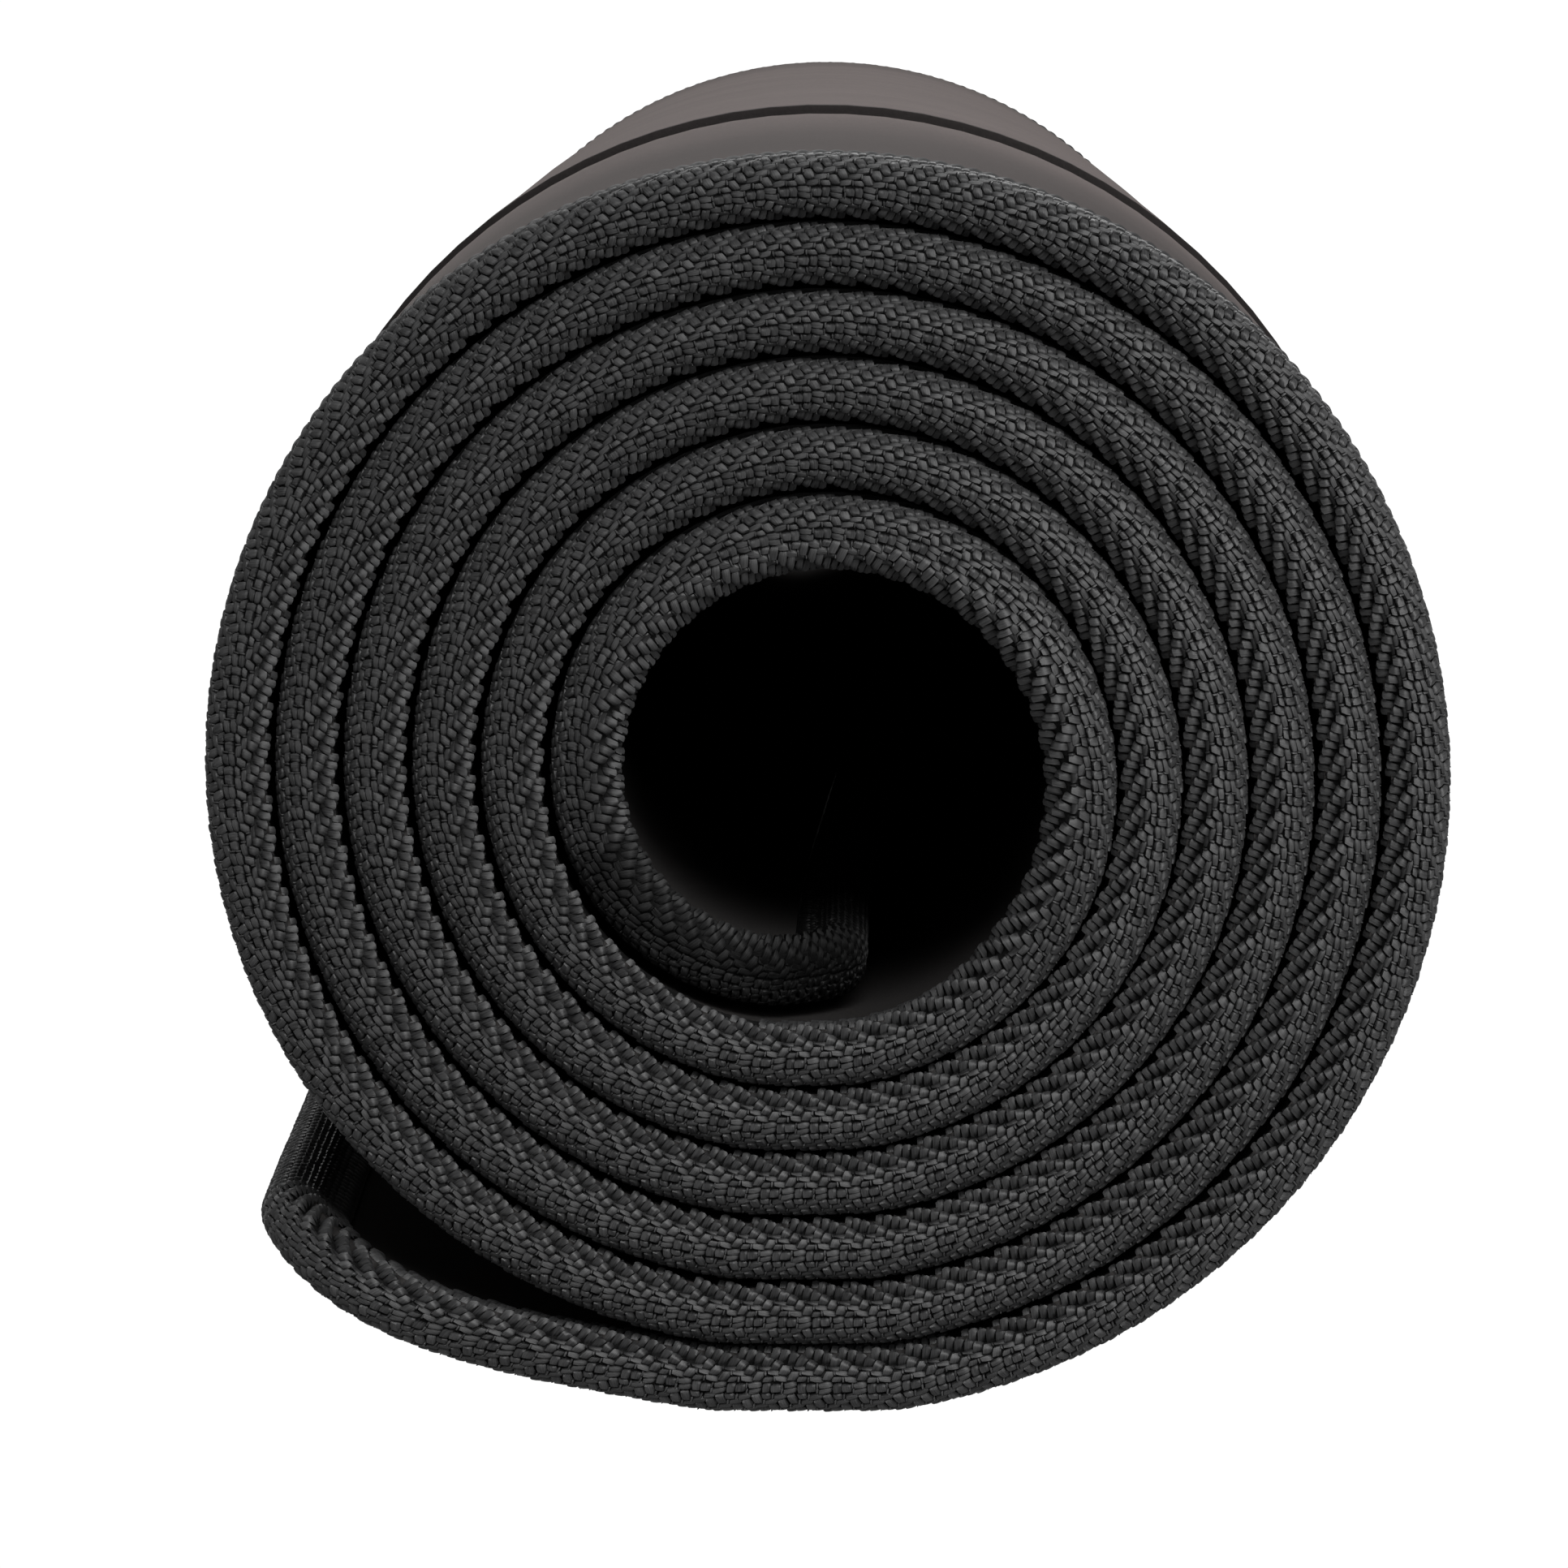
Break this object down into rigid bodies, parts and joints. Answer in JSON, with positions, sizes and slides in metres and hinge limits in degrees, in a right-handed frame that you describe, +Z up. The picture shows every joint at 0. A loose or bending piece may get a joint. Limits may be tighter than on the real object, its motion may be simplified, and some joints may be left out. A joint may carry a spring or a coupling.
{
  "type": "rolled desk mat",
  "caption": "Extended desk mat rolled up for storage: thin cloth face on a foam rubber base, with an overlocked thread edge and one free outer end.",
  "frame": {"origin": "centre of the roll's footprint on the surface that it lies on, midway between its two ends", "axes": "+Y along the roll's axis from the front end to the rear end, +Z up, +X to the right seen from the front end"},
  "size_m": [0.0676, 0.4, 0.0693],
  "materials": {
    "cloth": "fine knitted polyester, matte near-black",
    "film": "thin hot-melt bonding film",
    "rubber": "fine-grained matte foam rubber, dark grey",
    "thread": "near-black polyester overlock thread with a soft sheen"
  },
  "bodies": {
    "roll": {"roll_cloth_face": "cloth", "roll_bond_film": "film", "roll_rubber_base": "rubber", "roll_upper_looper_thread": "thread", "roll_lower_looper_thread": "thread", "roll_needle_thread": "thread"},
    "outer_end": {"outer_end_cloth_face": "cloth", "outer_end_bond_film": "film", "outer_end_rubber_base": "rubber", "outer_end_upper_looper_thread": "thread", "outer_end_lower_looper_thread": "thread", "outer_end_needle_thread": "thread"}
  },
  "joints": [
    {"name": "outer_end_peel", "type": "hinge", "parent": "roll", "child": "outer_end", "pos_m": [-0.00613, 0, 0.00178], "axis": [0, -1, 0], "range_deg": [-4.5, 7.5], "stiffness_Nm_per_rad": 0.15}
  ]
}
